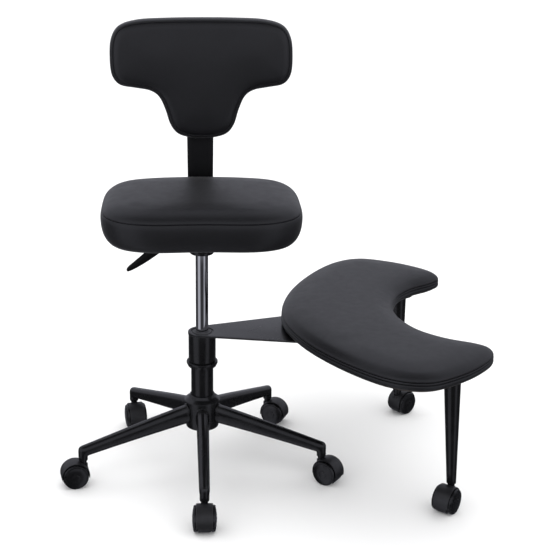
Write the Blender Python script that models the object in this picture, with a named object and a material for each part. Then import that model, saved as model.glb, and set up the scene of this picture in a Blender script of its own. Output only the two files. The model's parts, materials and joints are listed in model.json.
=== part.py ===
"""Kneeling massage chair: a swivel stool with a T-shaped backrest on a five-star base,
and a crescent knee pad that swings round the column on its own two castered legs.

Metres, +Z up. The seat faces -Y and the knee pad lies on the +X side. The origin is on the
floor, under the middle of the whole chair, so the column's axis stands at COLUMN_X, COLUMN_Y.
"""
import math

import bmesh
import bpy
from mathutils import Matrix, Vector

# Driving dimensions --------------------------------------------------------------------------
COLUMN_X, COLUMN_Y = -0.1451, -0.0222  # column axis, seen from the middle of the chair
GAP = 0.0003                           # running and seating clearance between pieces
FIT = 0.00005                          # radial clearance of a shaft in its guide

# casters
WHEEL_R = 0.028
HOOD_R = 0.0302
TRAIL = 0.019                          # stem axis to axle
HUB_HALF = 0.0130                      # half the width of the hood between the wheels
RIM_HALF = 0.0220                      # centre to the rim of a wheel
STEM_R = 0.0055
NECK_R = 0.0073
NECK_BOTTOM = 0.0450
PIN_R = 0.0040                         # swivel pin below the neck
AXLE_R = 0.0030

# star base
STEM_CIRCLE = 0.2795
LEGS = 5
LEG_HEADING = -90.0                    # degrees: the first leg points to the front
SOCKET_R = 0.0103
SOCKET_BOTTOM = 0.0590
SOCKET_TOP = 0.0940
SOCKET_DEPTH = 0.0270
HUB_R = 0.0372
HUB_BOTTOM, HUB_TOP = 0.1005, 0.1620
CASTER_YAW = (-91.0, -37.0, -25.0, -77.0, 192.0)   # trail headings, legs 1 to 5

# gas column
COLUMN_R = 0.0250
COLUMN_WALL = 0.0035
COLUMN_BOTTOM, COLUMN_TOP = 0.1040, 0.3290
PISTON_R = 0.0140
PISTON_BOTTOM, PISTON_TOP = 0.2450, 0.5380
ROD_R = 0.0050

# swing arm
ARM_YAW = 3.0                          # degrees from +X to the arm
COLLAR_TOP = 0.2600
SLEEVE_R = 0.0305
PLATE_BOTTOM, PLATE_TOP = 0.3268, 0.3303
PLATE_END_R = 0.0315
PLATE_FLARE = 14.1                     # degrees that each long edge opens by
PLATE_LENGTH = 0.4000
BOARD = 0.0120                         # plywood thickness under every cushion
KNEE_TOP = 0.3730
KNEE_FEET = ((0.5218, -0.2520), (0.5062, 0.2276))   # front and rear knee leg, in the arm's frame
KNEE_LEG_LEAN_X, KNEE_LEG_LEAN_Y = 0.0115, 0.0080  # how much nearer its top stands
KNEE_LEG_TOP_R, KNEE_LEG_FOOT_R = 0.0190, 0.0104
KNEE_YAW = (-130.5, 35.6)              # trail headings of the two knee casters in that frame

# seat
SEAT_WIDTH, SEAT_DEPTH = 0.4320, 0.3340
SEAT_CORNER = 0.1100
SEAT_DIP = 0.0080                      # how far the front edge curves in at the middle
BOSS_BOTTOM = 0.5130
HOUSING_BOTTOM, HOUSING_TOP = 0.5330, 0.5577
SEAT_TOP = 0.6470
LEVER_Z = 0.5497
LEVER_PIVOT_X = -0.0350

# backrest
BAR_Y = 0.1920                         # centre of the upright bar where it leaves the seat
BAR_LEAN = 4.0                         # degrees that the upright leans back
BAR_WIDTH, BAR_THICKNESS = 0.0400, 0.0080
BACK_TOP, BACK_BOTTOM = 0.9950, 0.7320
BACK_HALF = 0.2010
BACK_THICKNESS = 0.0440
COVER_WIDTH, COVER_DEPTH, COVER_TOP = 0.0600, 0.0260, 0.1400

ROUND = 20                             # sides of a round piece


# Tools ---------------------------------------------------------------------------------------
def material(name, colour, roughness, metallic=0.0):
    found = bpy.data.materials.get(name)
    if found:
        return found
    made = bpy.data.materials.new(name)
    made.use_nodes = True
    shader = made.node_tree.nodes["Principled BSDF"]
    shader.inputs["Base Color"].default_value = (*colour, 1.0)
    shader.inputs["Roughness"].default_value = roughness
    shader.inputs["Metallic"].default_value = metallic
    made.diffuse_color = (*colour, 1.0)
    return made


def leather():
    return material("black_leather", (0.035, 0.035, 0.039), 0.5)


def black_steel():
    return material("black_painted_steel", (0.013, 0.013, 0.014), 0.42, 0.2)


def chrome():
    return material("chrome", (0.62, 0.62, 0.64), 0.14, 1.0)


def black_plastic():
    return material("black_plastic", (0.016, 0.016, 0.018), 0.38)


def nylon():
    return material("dark_nylon", (0.05, 0.05, 0.055), 0.5)


def plywood():
    return material("stained_plywood", (0.05, 0.036, 0.026), 0.7)


def bare_steel():
    return material("zinc_steel", (0.45, 0.45, 0.46), 0.35, 1.0)


def mesh_of(shape, name):
    """Turn a bmesh into a mesh with its faces outwards."""
    bmesh.ops.remove_doubles(shape, verts=shape.verts, dist=1e-6)
    bmesh.ops.recalc_face_normals(shape, faces=shape.faces)
    mesh = bpy.data.meshes.new(name)
    shape.to_mesh(mesh)
    shape.free()
    mesh.shade_smooth()
    mesh.set_sharp_from_angle(angle=math.radians(35))
    return mesh


def place(name, mesh, look, parent, location=(0, 0, 0), turn=(0, 0, 0)):
    """Put a mesh in the scene under its parent empty; turn is in degrees."""
    piece = bpy.data.objects.new(name, mesh)
    bpy.context.scene.collection.objects.link(piece)
    piece.data.materials.clear()
    piece.data.materials.append(look)
    piece.parent = parent
    piece.location = location
    piece.rotation_euler = [math.radians(angle) for angle in turn]
    return piece


def pivot(name, parent, location=(0, 0, 0), turn=(0, 0, 0)):
    """An empty that stands on a joint's axis."""
    empty = bpy.data.objects.new(name, None)
    bpy.context.scene.collection.objects.link(empty)
    empty.empty_display_size = 0.03
    empty.parent = parent
    empty.location = location
    empty.rotation_euler = [math.radians(angle) for angle in turn]
    return empty


def turned(profile, name, closed=False, sides=ROUND):
    """Spin (radius, height) points round Z: a solid from axis to axis, or a closed ring."""
    shape = bmesh.new()
    points = [shape.verts.new((radius, 0, height)) for radius, height in profile]
    pairs = list(zip(points, points[1:]))
    if closed:
        pairs.append((points[-1], points[0]))
    edges = [shape.edges.new(pair) for pair in pairs]
    bmesh.ops.spin(shape, geom=points + edges, cent=(0, 0, 0), axis=(0, 0, 1),
                   angle=2 * math.pi, steps=sides, use_merge=True)
    return mesh_of(shape, name)


def ring(inner, outer, low, high, name, sides=ROUND):
    """A plain tube standing on Z."""
    corners = [(inner, low), (inner, high), (outer, high), (outer, low)]
    return turned(corners, name, closed=True, sides=sides)


def slab(outline, low, high, name, round_edge=0.0, steps=2, round_base=0.0):
    """Extrude an outline up Z and, if asked, round its upper and lower edges."""
    shape = bmesh.new()
    base = shape.faces.new([shape.verts.new((x, y, low)) for x, y in outline])
    grown = bmesh.ops.extrude_face_region(shape, geom=[base])["geom"]
    upper = [item for item in grown if isinstance(item, bmesh.types.BMVert)]
    bmesh.ops.translate(shape, verts=upper, vec=(0, 0, high - low))
    if round_edge:
        rim = [edge for edge in shape.edges if all(v in upper for v in edge.verts)]
        bmesh.ops.bevel(shape, geom=rim, offset=round_edge, segments=steps, profile=0.5,
                        affect="EDGES")
    if round_base:
        rim = [edge for edge in shape.edges if all(v.co.z < low + 1e-6 for v in edge.verts)]
        bmesh.ops.bevel(shape, geom=rim, offset=round_base, segments=steps, profile=0.5,
                        affect="EDGES")
    return mesh_of(shape, name)


def loft(sections, name):
    """Join rings of points into one closed body with a cap at each end."""
    shape = bmesh.new()
    rings = [[shape.verts.new(point) for point in section] for section in sections]
    count = len(rings[0])
    for lower, upper in zip(rings, rings[1:]):
        for index in range(count):
            after = (index + 1) % count
            shape.faces.new((lower[index], lower[after], upper[after], upper[index]))
    shape.faces.new(rings[0])
    shape.faces.new(rings[-1])
    return mesh_of(shape, name)


def oval(centre, across, along, half_across, half_along, sides=16, squareness=1.0):
    """Points of an ellipse in the plane of two directions; below 1 it squares up."""
    points = []
    for index in range(sides):
        angle = 2 * math.pi * (index + 0.5) / sides
        u = math.copysign(abs(math.cos(angle)) ** squareness, math.cos(angle))
        v = math.copysign(abs(math.sin(angle)) ** squareness, math.sin(angle))
        points.append(Vector(centre) + Vector(across) * half_across * u
                      + Vector(along) * half_along * v)
    return points


def filleted(corners, steps=5):
    """Round each (x, y, radius) corner of a polygon with an arc."""
    outline = []
    for index, (x, y, radius) in enumerate(corners):
        here = Vector((x, y))
        back = (Vector(corners[index - 1][:2]) - here).normalized()
        ahead = (Vector(corners[(index + 1) % len(corners)][:2]) - here).normalized()
        half = back.angle(ahead) / 2
        middle = here + (back + ahead).normalized() * radius / math.sin(half)
        start = here + back * radius / math.tan(half) - middle
        swing = start.angle_signed(here + ahead * radius / math.tan(half) - middle)
        for step in range(steps + 1):
            spoke = start.copy()
            spoke.rotate(Matrix.Rotation(-swing * step / steps, 2))
            outline.append(tuple(middle + spoke))
    return outline


def spline(points, steps=3):
    """A closed Catmull-Rom curve through the points."""
    outline = []
    count = len(points)
    for index in range(count):
        p0, p1, p2, p3 = (Vector(points[(index + k - 1) % count]) for k in range(4))
        for step in range(steps):
            t = step / steps
            outline.append(tuple(0.5 * (2 * p1 + (p2 - p0) * t
                                        + (2 * p0 - 5 * p1 + 4 * p2 - p3) * t ** 2
                                        + (3 * p1 - p0 - 3 * p2 + p3) * t ** 3)))
    return outline


def combined(mesh, others, operation, name):
    """Cut or join meshes with the exact solver and return the result as one mesh."""
    body = bpy.data.objects.new(name, mesh)
    helpers = [bpy.data.objects.new(name + "_tool", other) for other in others]
    for item in [body] + helpers:
        bpy.context.scene.collection.objects.link(item)
    for helper in helpers:
        helper.hide_render = True
        helper.display_type = "WIRE"
        step = body.modifiers.new("shape", "BOOLEAN")
        step.object = helper
        step.operation = operation
    graph = bpy.context.evaluated_depsgraph_get()
    result = bpy.data.meshes.new_from_object(body.evaluated_get(graph))
    for item in [body] + helpers:
        bpy.data.objects.remove(item, do_unlink=True)
    result.shade_smooth()
    result.set_sharp_from_angle(angle=math.radians(35))
    return result


def moved(mesh, matrix):
    """A mesh after a move; returns the same mesh."""
    mesh.transform(matrix)
    return mesh


def cylinder(radius, low, high, name, sides=ROUND):
    return turned([(0, low), (radius, low), (radius, high), (0, high)], name, sides=sides)


def bored(radius, sides=ROUND):
    """Corner radius of a faceted bore in which a round shaft can turn."""
    return (radius + FIT) / math.cos(math.pi / sides)


def box(x, y, z, name):
    """A block from its (low, high) span on each axis."""
    outline = [(x[0], y[0]), (x[1], y[0]), (x[1], y[1]), (x[0], y[1])]
    return slab(outline, z[0], z[1], name)


# Casters -------------------------------------------------------------------------------------
def along_y(mesh):
    """Lay a piece that was turned round Z along the axle, at the axle's place."""
    return moved(mesh, Matrix.Translation((TRAIL, 0, WHEEL_R)) @ Matrix.Rotation(-math.pi / 2, 4, "X"))


def wheel_mesh():
    """One domed wheel with a blind bore, its tread round the axle, its dome towards +Y."""
    sides = 18
    bore = bored(AXLE_R, sides)
    tread = WHEEL_R / math.cos(math.pi / sides)   # the flats touch the floor
    profile = [
        (0, 0.0205), (bore, 0.0205), (bore, HUB_HALF + GAP), (0.0268, HUB_HALF + GAP),
        (tread, HUB_HALF + 0.0013), (tread, RIM_HALF - 0.0018),
        (0.0262, RIM_HALF + 0.0002), (0.0170, RIM_HALF + 0.0036), (0, RIM_HALF + 0.0056)]
    return along_y(turned(profile, "wheel", sides=sides))


def hood_mesh():
    """The hood: a drum between the wheels, a roof over them, and the pressed-in axle."""
    drum = along_y(cylinder(HOOD_R - 0.0004, -HUB_HALF, HUB_HALF, "hood"))
    roof = along_y(ring(WHEEL_R + 0.0009, HOOD_R, -RIM_HALF + 0.001, RIM_HALF - 0.001, "roof"))
    far = 0.1
    below_axle = box((-far, far), (-far, far), (-far, WHEEL_R - 0.006), "below")
    roof = combined(roof, [below_axle], "DIFFERENCE", "roof")
    floor_clearance = box((-far, far), (-far, far), (-far, 0.006), "clearance")
    drum = combined(drum, [floor_clearance], "DIFFERENCE", "drum")
    axle = along_y(cylinder(AXLE_R, -0.0200, 0.0200, "axle", sides=10))
    neck_seat = cylinder(NECK_R + 2 * GAP, NECK_BOTTOM - GAP, 0.08, "neck_seat", sides=12)
    stem_bore = cylinder(bored(PIN_R, 12), 0.0200, 0.08, "stem_bore", sides=12)
    body = combined(combined(drum, [roof], "UNION", "hood"), [axle], "UNION", "hood")
    body = combined(body, [stem_bore], "DIFFERENCE", "hood")
    return combined(body, [neck_seat], "DIFFERENCE", "hood")


def stem_mesh():
    """Grip pin above, neck between socket and hood, and swivel pin below."""
    profile = [
        (0, 0.0210), (PIN_R, 0.0210), (PIN_R, NECK_BOTTOM), (NECK_R, NECK_BOTTOM),
        (NECK_R, SOCKET_BOTTOM - GAP), (STEM_R, SOCKET_BOTTOM - GAP),
        (STEM_R, SOCKET_BOTTOM + 0.0250), (0, SOCKET_BOTTOM + 0.0250)]
    return turned(profile, "stem", sides=12)


def caster(label, parent, location, socket_yaw, yaw, meshes):
    """Four pieces under two nested pivots: the swivel, and the axle."""
    stem, hood, wheel = meshes
    place("caster_stem_" + label, stem, black_steel(), parent, location, (0, 0, socket_yaw))
    swivel = pivot("swivel_" + label, parent, location, (0, 0, yaw))
    place("caster_hood_" + label, hood, black_plastic(), swivel)
    axle = pivot("axle_" + label, swivel, (TRAIL, 0, WHEEL_R))
    back_to_floor = (-TRAIL, 0, -WHEEL_R)
    place("caster_wheel_" + label + "_a", wheel, black_plastic(), axle, back_to_floor)
    place("caster_wheel_" + label + "_b", wheel, black_plastic(), axle,
          (TRAIL, 0, -WHEEL_R), (0, 0, 180))


# Star base -----------------------------------------------------------------------------------
def leg_mesh():
    """A tapering oval tube from the hub to an upright socket, drawn along +X."""
    stations = [  # distance out, centre height, half width, half height
        (HUB_R - 0.008, 0.1345, 0.0142, 0.0222),
        (0.1500, 0.1092, 0.0130, 0.0172),
        (STEM_CIRCLE - 0.004, 0.0815, 0.0112, 0.0125)]
    sections = [oval((x, 0, z), (0, 1, 0), (0, 0, 1), wide, tall, 12, 0.7)
                for x, z, wide, tall in stations]
    tube = loft(sections, "leg")
    socket = turned([(0, SOCKET_BOTTOM), (SOCKET_R - 0.0015, SOCKET_BOTTOM),
                     (SOCKET_R, SOCKET_BOTTOM + 0.002), (SOCKET_R, SOCKET_TOP - 0.003),
                     (SOCKET_R - 0.003, SOCKET_TOP), (0, SOCKET_TOP)], "socket", sides=16)
    moved(socket, Matrix.Translation((STEM_CIRCLE, 0, 0)))
    bore = cylinder(STEM_R + FIT, 0.04, SOCKET_BOTTOM + SOCKET_DEPTH, "bore", sides=12)
    moved(bore, Matrix.Translation((STEM_CIRCLE, 0, 0)))
    hub = cylinder(HUB_R + GAP, 0, 0.3, "hub_space", sides=30)
    leg = combined(tube, [socket], "UNION", "base_leg")
    return combined(leg, [bore, hub], "DIFFERENCE", "base_leg")


def star_base(root, caster_meshes):
    hub = ring(COLUMN_R + GAP, HUB_R, HUB_BOTTOM, HUB_TOP, "hub", sides=30)
    place("base_hub", hub, black_steel(), root)
    cover = [(COLUMN_R + GAP, HUB_TOP + GAP), (COLUMN_R + GAP, 0.1790), (0.0275, 0.1790),
             (0.0385, HUB_TOP + 0.0050), (0.0405, HUB_TOP + 0.0025), (0.0405, HUB_TOP + GAP)]
    place("hub_cover", turned(cover, "cover", closed=True, sides=28), black_plastic(), root)
    leg = leg_mesh()
    for number in range(LEGS):
        heading = LEG_HEADING + 360.0 / LEGS * number
        label = str(number + 1)
        place("base_leg_" + label, leg, black_steel(), root, turn=(0, 0, heading))
        angle = math.radians(heading)
        foot = (STEM_CIRCLE * math.cos(angle), STEM_CIRCLE * math.sin(angle), 0)
        caster(label, root, foot, heading, CASTER_YAW[number], caster_meshes)


# Gas column ----------------------------------------------------------------------------------
def gas_column(root, lift):
    inner = COLUMN_R - COLUMN_WALL
    tube = [(0.0075, COLUMN_BOTTOM), (0.0075, COLUMN_BOTTOM + 0.008),
            (inner, COLUMN_BOTTOM + 0.008), (inner, COLUMN_TOP), (COLUMN_R, COLUMN_TOP),
            (COLUMN_R, COLUMN_BOTTOM + 0.002), (COLUMN_R - 0.002, COLUMN_BOTTOM)]
    place("column_tube", turned(tube, "column_tube", closed=True, sides=28), black_steel(), root)
    bush = ring(bored(PISTON_R), inner - GAP, COLUMN_TOP - 0.080, COLUMN_TOP + 0.001, "bush")
    place("column_bush", bush, nylon(), root)
    collar = [(COLUMN_R + GAP, COLLAR_TOP - 0.012), (COLUMN_R + GAP, COLLAR_TOP),
              (0.0342, COLLAR_TOP), (0.0350, COLLAR_TOP - 0.001),
              (0.0350, COLLAR_TOP - 0.010), (0.0335, COLLAR_TOP - 0.012)]
    place("support_collar", turned(collar, "collar", closed=True, sides=28), black_steel(), root)

    bearing_top = COLUMN_BOTTOM + 0.0183
    rod = [(0, COLUMN_BOTTOM - 0.006), (0.0090, COLUMN_BOTTOM - 0.006),
           (0.0090, COLUMN_BOTTOM - 0.002), (ROD_R, COLUMN_BOTTOM - 0.002),
           (ROD_R, bearing_top + GAP), (0.0080, bearing_top + GAP),
           (0.0080, bearing_top + 0.004), (ROD_R, bearing_top + 0.004), (ROD_R, 0.375),
           (0.0105, 0.375), (0.0105, 0.385), (0, 0.385)]
    place("gas_rod", turned(rod, "gas_rod", sides=16), bare_steel(), lift)
    bearing = ring(ROD_R + GAP, 0.0180, COLUMN_BOTTOM + 0.008 + GAP, bearing_top, "bearing")
    place("thrust_bearing", bearing, bare_steel(), lift)


def gas_piston(seat, valve):
    """The chromed cylinder that rises from the column, and the valve pin in its head."""
    outline = [(0.0110, PISTON_BOTTOM), (0.0110, 0.5150), (0.0042, 0.5150),
               (0.0042, PISTON_TOP), (PISTON_R - 0.001, PISTON_TOP),
               (PISTON_R, PISTON_TOP - 0.001), (PISTON_R, PISTON_BOTTOM)]
    place("gas_cylinder", turned(outline, "gas_cylinder", closed=True, sides=20), chrome(), seat)
    pin = cylinder(0.0040, 0.5230, PISTON_TOP + 0.0062, "pin", sides=12)
    place("valve_pin", pin, bare_steel(), valve)


# Swing arm with the knee pad -----------------------------------------------------------------
def crescent(inset=0.0):
    """The pad's outline in the arm's frame: a crescent that opens away from the column."""
    half = [(0.1800, 0), (0.2045, 0.1270), (0.2625, 0.2470), (0.3430, 0.3470),
            (0.4250, 0.3795), (0.5120, 0.3410), (0.5790, 0.2790), (0.5970, 0.2350),
            (0.5720, 0.2040), (0.5120, 0.1660), (0.4620, 0.1020), (0.4380, 0)]
    mirrored = [(x, -y) for x, y in reversed(half[1:-1])]
    outline = [Vector(point) for point in spline(half + mirrored)]
    points = []
    for index, here in enumerate(outline):
        tangent = outline[(index + 1) % len(outline)] - outline[index - 1]
        inward = Vector((tangent.y, -tangent.x)).normalized()
        points.append(tuple(here + inward * inset))
    return points


def plate_outline():
    """A rounded nose round the column, whose long edges open out under the pad."""
    flare = math.radians(PLATE_FLARE)
    outline = []
    for step in range(13):
        angle = math.pi / 2 + flare + (math.pi - 2 * flare) * step / 12
        outline.append((PLATE_END_R * math.cos(angle), PLATE_END_R * math.sin(angle)))
    half_end = PLATE_END_R / math.cos(flare) + PLATE_LENGTH * math.tan(flare)
    return outline + [(PLATE_LENGTH - 0.02, -half_end + 0.005), (PLATE_LENGTH, -half_end + 0.03),
                      (PLATE_LENGTH, half_end - 0.03), (PLATE_LENGTH - 0.02, half_end - 0.005)]


def knee_leg_mesh(foot_x, foot_y):
    """A tapering leg with a round plate on top, which stands a little nearer the arm's middle."""
    lean_y = math.copysign(KNEE_LEG_LEAN_Y, foot_y)
    top = Vector((foot_x - KNEE_LEG_LEAN_X, foot_y - lean_y, 0.3240))
    foot = Vector((foot_x, foot_y, SOCKET_BOTTOM + 0.002))
    x, y = (1, 0, 0), (0, 1, 0)
    chamfer = foot - Vector((0, 0, 0.002))
    sections = [oval(chamfer, x, y, KNEE_LEG_FOOT_R - 0.0015, KNEE_LEG_FOOT_R - 0.0015, 20),
                oval(foot, x, y, KNEE_LEG_FOOT_R, KNEE_LEG_FOOT_R, 20),
                oval(top, x, y, KNEE_LEG_TOP_R, KNEE_LEG_TOP_R, 20)]
    shaft = loft(sections, "knee_leg")
    flange = cylinder(0.0350, 0.3235, PLATE_TOP, "flange")
    moved(flange, Matrix.Translation((top.x, top.y, 0)))
    bore = cylinder(STEM_R + FIT, 0.04, SOCKET_BOTTOM + SOCKET_DEPTH, "bore", sides=12)
    moved(bore, Matrix.Translation((foot.x, foot.y, 0)))
    leg = combined(shaft, [flange], "UNION", "knee_leg")
    return combined(leg, [bore], "DIFFERENCE", "knee_leg")


def swing_arm(arm, caster_meshes):
    bush_r = COLUMN_R + 0.0027
    bush = ring(bored(COLUMN_R, 28), bush_r, COLLAR_TOP + GAP, PLATE_BOTTOM - GAP, "bush", sides=28)
    place("sleeve_bush", bush, nylon(), arm)
    sleeve = ring(bush_r + GAP, SLEEVE_R, COLLAR_TOP + GAP, PLATE_BOTTOM - GAP, "sleeve", sides=28)
    place("swing_sleeve", sleeve, black_steel(), arm)
    plate = slab(plate_outline(), PLATE_BOTTOM, PLATE_TOP, "plate")
    hole = cylinder(bored(COLUMN_R, 28), 0.30, 0.35, "hole", sides=28)
    place("swing_plate", combined(plate, [hole], "DIFFERENCE", "plate"), black_steel(), arm)

    board_low = PLATE_TOP + GAP
    board = slab(crescent(0.010), board_low, board_low + BOARD, "board")
    place("knee_board", board, plywood(), arm)
    pad = slab(crescent(), board_low + BOARD + GAP, KNEE_TOP, "pad", round_edge=0.008)
    place("knee_cushion", pad, leather(), arm)
    for label, foot, yaw in zip(("front", "rear"), KNEE_FEET, KNEE_YAW):
        place("knee_leg_" + label, knee_leg_mesh(*foot), black_steel(), arm)
        caster("knee_" + label, arm, (*foot, 0), 0, yaw, caster_meshes)


# Seat ----------------------------------------------------------------------------------------
def seat_outline(inset=0.0):
    """A rounded rectangle whose front edge curves in a little at the middle."""
    half_x, half_y = SEAT_WIDTH / 2 - inset, SEAT_DEPTH / 2 - inset
    corner = SEAT_CORNER - inset
    steps = 6
    rounded = filleted([(-half_x, half_y, corner), (-half_x, -half_y, corner),
                        (half_x, -half_y, corner), (half_x, half_y, corner)], steps)
    after_left_corners = 2 * (steps + 1)
    front = []
    for step in range(1, 6):
        across = -1 + step / 3
        dip = SEAT_DIP * (0.5 + 0.5 * math.cos(math.pi * across))
        front.append(((half_x - corner) * across, -half_y + dip))
    return rounded[:after_left_corners] + front + rounded[after_left_corners:]


def housing_mesh():
    """Boss, box and mounting plate of the seat mechanism, with the lever's slot."""
    body = box((-0.045, 0.045), (-0.040, 0.075), (HOUSING_BOTTOM, HOUSING_TOP), "housing")
    plate = box((-0.090, 0.090), (-0.080, 0.0750), (HOUSING_TOP - 0.003, HOUSING_TOP), "plate")
    boss = turned([(0, BOSS_BOTTOM), (0.0200, BOSS_BOTTOM), (0.0270, BOSS_BOTTOM + 0.006),
                   (0.0280, HOUSING_BOTTOM + 0.002), (0, HOUSING_BOTTOM + 0.002)], "boss")
    bore = cylinder(PISTON_R + FIT, 0.50, PISTON_TOP + GAP, "bore", sides=20)
    pin_way = cylinder(0.0046, 0.53, LEVER_Z, "pin_way", sides=12)
    slot = box((-0.100, 0.009), (-0.0062, 0.0062), (0.5405, HOUSING_TOP - 0.0022), "slot")
    notch = box((-0.100, -0.0452), (-0.0064, 0.0064), (0.5407, 0.57), "notch")
    solid = combined(body, [plate, boss], "UNION", "housing")
    return combined(solid, [bore, pin_way, slot, notch], "DIFFERENCE", "housing")


def lever_mesh():
    """A bent rod with a cross pin at its pivot."""
    bend_x, end_x, end_z = -0.0600, -0.0720, 0.5410
    y, z = Vector((0, 1, 0)), Vector((0, 0, 1))
    slope = Vector((end_x - bend_x, 0, end_z - LEVER_Z)).normalized()
    upright = Vector((slope.z, 0, -slope.x))
    sections = [oval((0.0060, 0, LEVER_Z), y, z, 0.0040, 0.0040, 10),
                oval((bend_x, 0, LEVER_Z), y, (upright + z) / 2, 0.0040, 0.0041, 10),
                oval((end_x, 0, end_z), y, upright, 0.0040, 0.0040, 10)]
    rod = loft(sections, "lever")
    pin = cylinder(0.0024, -0.0059, 0.0059, "pin", sides=10)
    moved(pin, Matrix.Translation((LEVER_PIVOT_X, 0, LEVER_Z)) @ Matrix.Rotation(math.pi / 2, 4, "X"))
    return combined(rod, [pin], "UNION", "lever")


def paddle_mesh():
    """The finger paddle: widest near the seat and tapering down to a blunt tip."""
    slope = math.radians(34)
    down = Vector((-math.cos(slope), 0, -math.sin(slope)))
    upright = Vector((math.sin(slope), 0, -math.cos(slope)))
    start = Vector((-0.0727, 0, 0.5395))
    stations = [(0, 0.0050, 0.0062, 0), (0.010, 0.0062, 0.0100, 0), (0.040, 0.0066, 0.0106, 0.0004),
                (0.070, 0.0062, 0.0092, 0.0023), (0.100, 0.0052, 0.0063, 0.0030),
                (0.111, 0.0034, 0.0030, 0.0036)]
    sections = [oval(start + down * along + upright * drop, (0, 1, 0), upright, wide, tall, 14, 0.8)
                for along, wide, tall, drop in stations]
    return loft(sections, "paddle")


def seat(carrier, lever):
    place("seat_housing", housing_mesh(), black_steel(), carrier)
    place("lift_lever", lever_mesh(), black_steel(), lever,
          (-LEVER_PIVOT_X, 0, -LEVER_Z))
    place("lever_paddle", paddle_mesh(), black_plastic(), lever, (-LEVER_PIVOT_X, 0, -LEVER_Z))
    board_low = HOUSING_TOP + GAP
    board = slab(seat_outline(0.032), board_low, board_low + BOARD, "board")
    place("seat_board", board, plywood(), carrier)
    cushion = slab(seat_outline(), board_low + BOARD + GAP, SEAT_TOP, "cushion",
                   round_edge=0.024, round_base=0.024)
    place("seat_cushion", cushion, leather(), carrier)


# Backrest ------------------------------------------------------------------------------------
def lean(height):
    """How far back the upright stands at a height above the seat's underside."""
    return BAR_Y + (height - 0.6000) * math.tan(math.radians(BAR_LEAN))


def bar_mesh():
    """One flat bar: back from the housing, round a bend, and up behind the seat."""
    level = 0.5440
    bend_r = 0.0400
    x = Vector((1, 0, 0))
    tilt = math.radians(BAR_LEAN)
    path = [(0.0753, level, 0.0), (0.110, level, 0.0)]
    centre_y = lean(level + bend_r) - bend_r
    for step in range(6):
        angle = (math.pi / 2 - tilt) * step / 5
        path.append((centre_y + bend_r * math.sin(angle),
                     level + bend_r * (1 - math.cos(angle)), angle))
    path.append((lean(0.9000), 0.9000, math.pi / 2 - tilt))
    sections = []
    for y, z, angle in path:
        normal = Vector((0, -math.sin(angle), math.cos(angle)))
        middle = Vector((0, y, z))
        side, thick = x * BAR_WIDTH / 2, normal * BAR_THICKNESS / 2
        sections.append([middle - side - thick, middle + side - thick,
                         middle + side + thick, middle - side + thick])
    return loft(sections, "bar")


def upright_frame(parent, name):
    """An empty on the bar at 0.6 m, whose Z runs up along it."""
    return pivot(name, parent, (0, BAR_Y, 0.6), (-BAR_LEAN, 0, 0))


def cover_mesh():
    """A shell over the bar: a rounded tube, open at both ends, a little narrower below."""
    outer, inner = [], []
    for height, width in ((-0.020, 0.0570), (COVER_TOP, COVER_WIDTH)):
        outer.append(oval((0, 0, height), (1, 0, 0), (0, 1, 0), width / 2, COVER_DEPTH / 2, 20, 0.45))
    for height in (-0.030, 0.160):
        inner.append(oval((0, 0, height), (1, 0, 0), (0, 1, 0), BAR_WIDTH / 2 + 0.004,
                          BAR_THICKNESS / 2 + 0.003, 20, 0.3))
    return combined(loft(outer, "cover"), [loft(inner, "hollow")], "DIFFERENCE", "cover")


def t_outline(inset=0.0):
    """The backrest's face: a wide lobe over a tapering stem. Heights are along the bar."""
    top, low = BACK_TOP - 0.6 - inset, BACK_BOTTOM - 0.6 + inset
    lobe_low, neck = 0.2545 + inset, 0.2320 + inset
    side = [(0.0600 - inset, low, 0.030 - inset / 2), (0.0950 - inset, neck, 0.030),
            (BACK_HALF - inset, lobe_low, 0.036 - inset), (BACK_HALF - inset, top, 0.052 - inset)]
    mirrored = [(-x, z, radius) for x, z, radius in reversed(side)]
    return filleted(side + mirrored)


def stand_up(mesh, back):
    """Turn a slab drawn flat so that its underside faces the back, at depth back."""
    return moved(mesh, Matrix.Translation((0, back, 0)) @ Matrix.Rotation(math.pi / 2, 4, "X"))


def bracket_mesh():
    """A clamp box that slides on the bar, with the plate that carries the board."""
    body = box((-0.030, 0.030), (-0.0160, 0.0150), (0.1900, 0.2700), "bracket")
    plate = box((-0.045, 0.045), (-0.0160, -0.0130), (0.1750, 0.2850), "plate")
    way = box((-BAR_WIDTH / 2 - FIT, BAR_WIDTH / 2 + FIT),
              (-BAR_THICKNESS / 2 - FIT, BAR_THICKNESS / 2 + FIT), (0.1, 0.3), "way")
    bolt_way = cylinder(bored(0.0040, 12), 0, 0.05, "bolt_way", sides=12)
    moved(bolt_way, Matrix.Translation((0, 0, 0.2300)) @ Matrix.Rotation(-math.pi / 2, 4, "X"))
    return combined(combined(body, [plate], "UNION", "bracket"), [way, bolt_way], "DIFFERENCE",
                    "bracket")


def knob_mesh():
    """A lobed hand knob with its clamp bolt, turned round Z."""
    bolt = cylinder(0.0040, -0.0002, 0.0200, "bolt", sides=12)
    lobes = 6
    outline = []
    for index in range(36):
        angle = 2 * math.pi * index / 36
        radius = 0.0200 + 0.0016 * math.cos(lobes * angle)
        outline.append((radius * math.cos(angle), radius * math.sin(angle)))
    head = slab(outline, 0.0115, 0.0300, "head", round_edge=0.002, steps=1)
    return combined(head, [bolt], "UNION", "knob")


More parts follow.
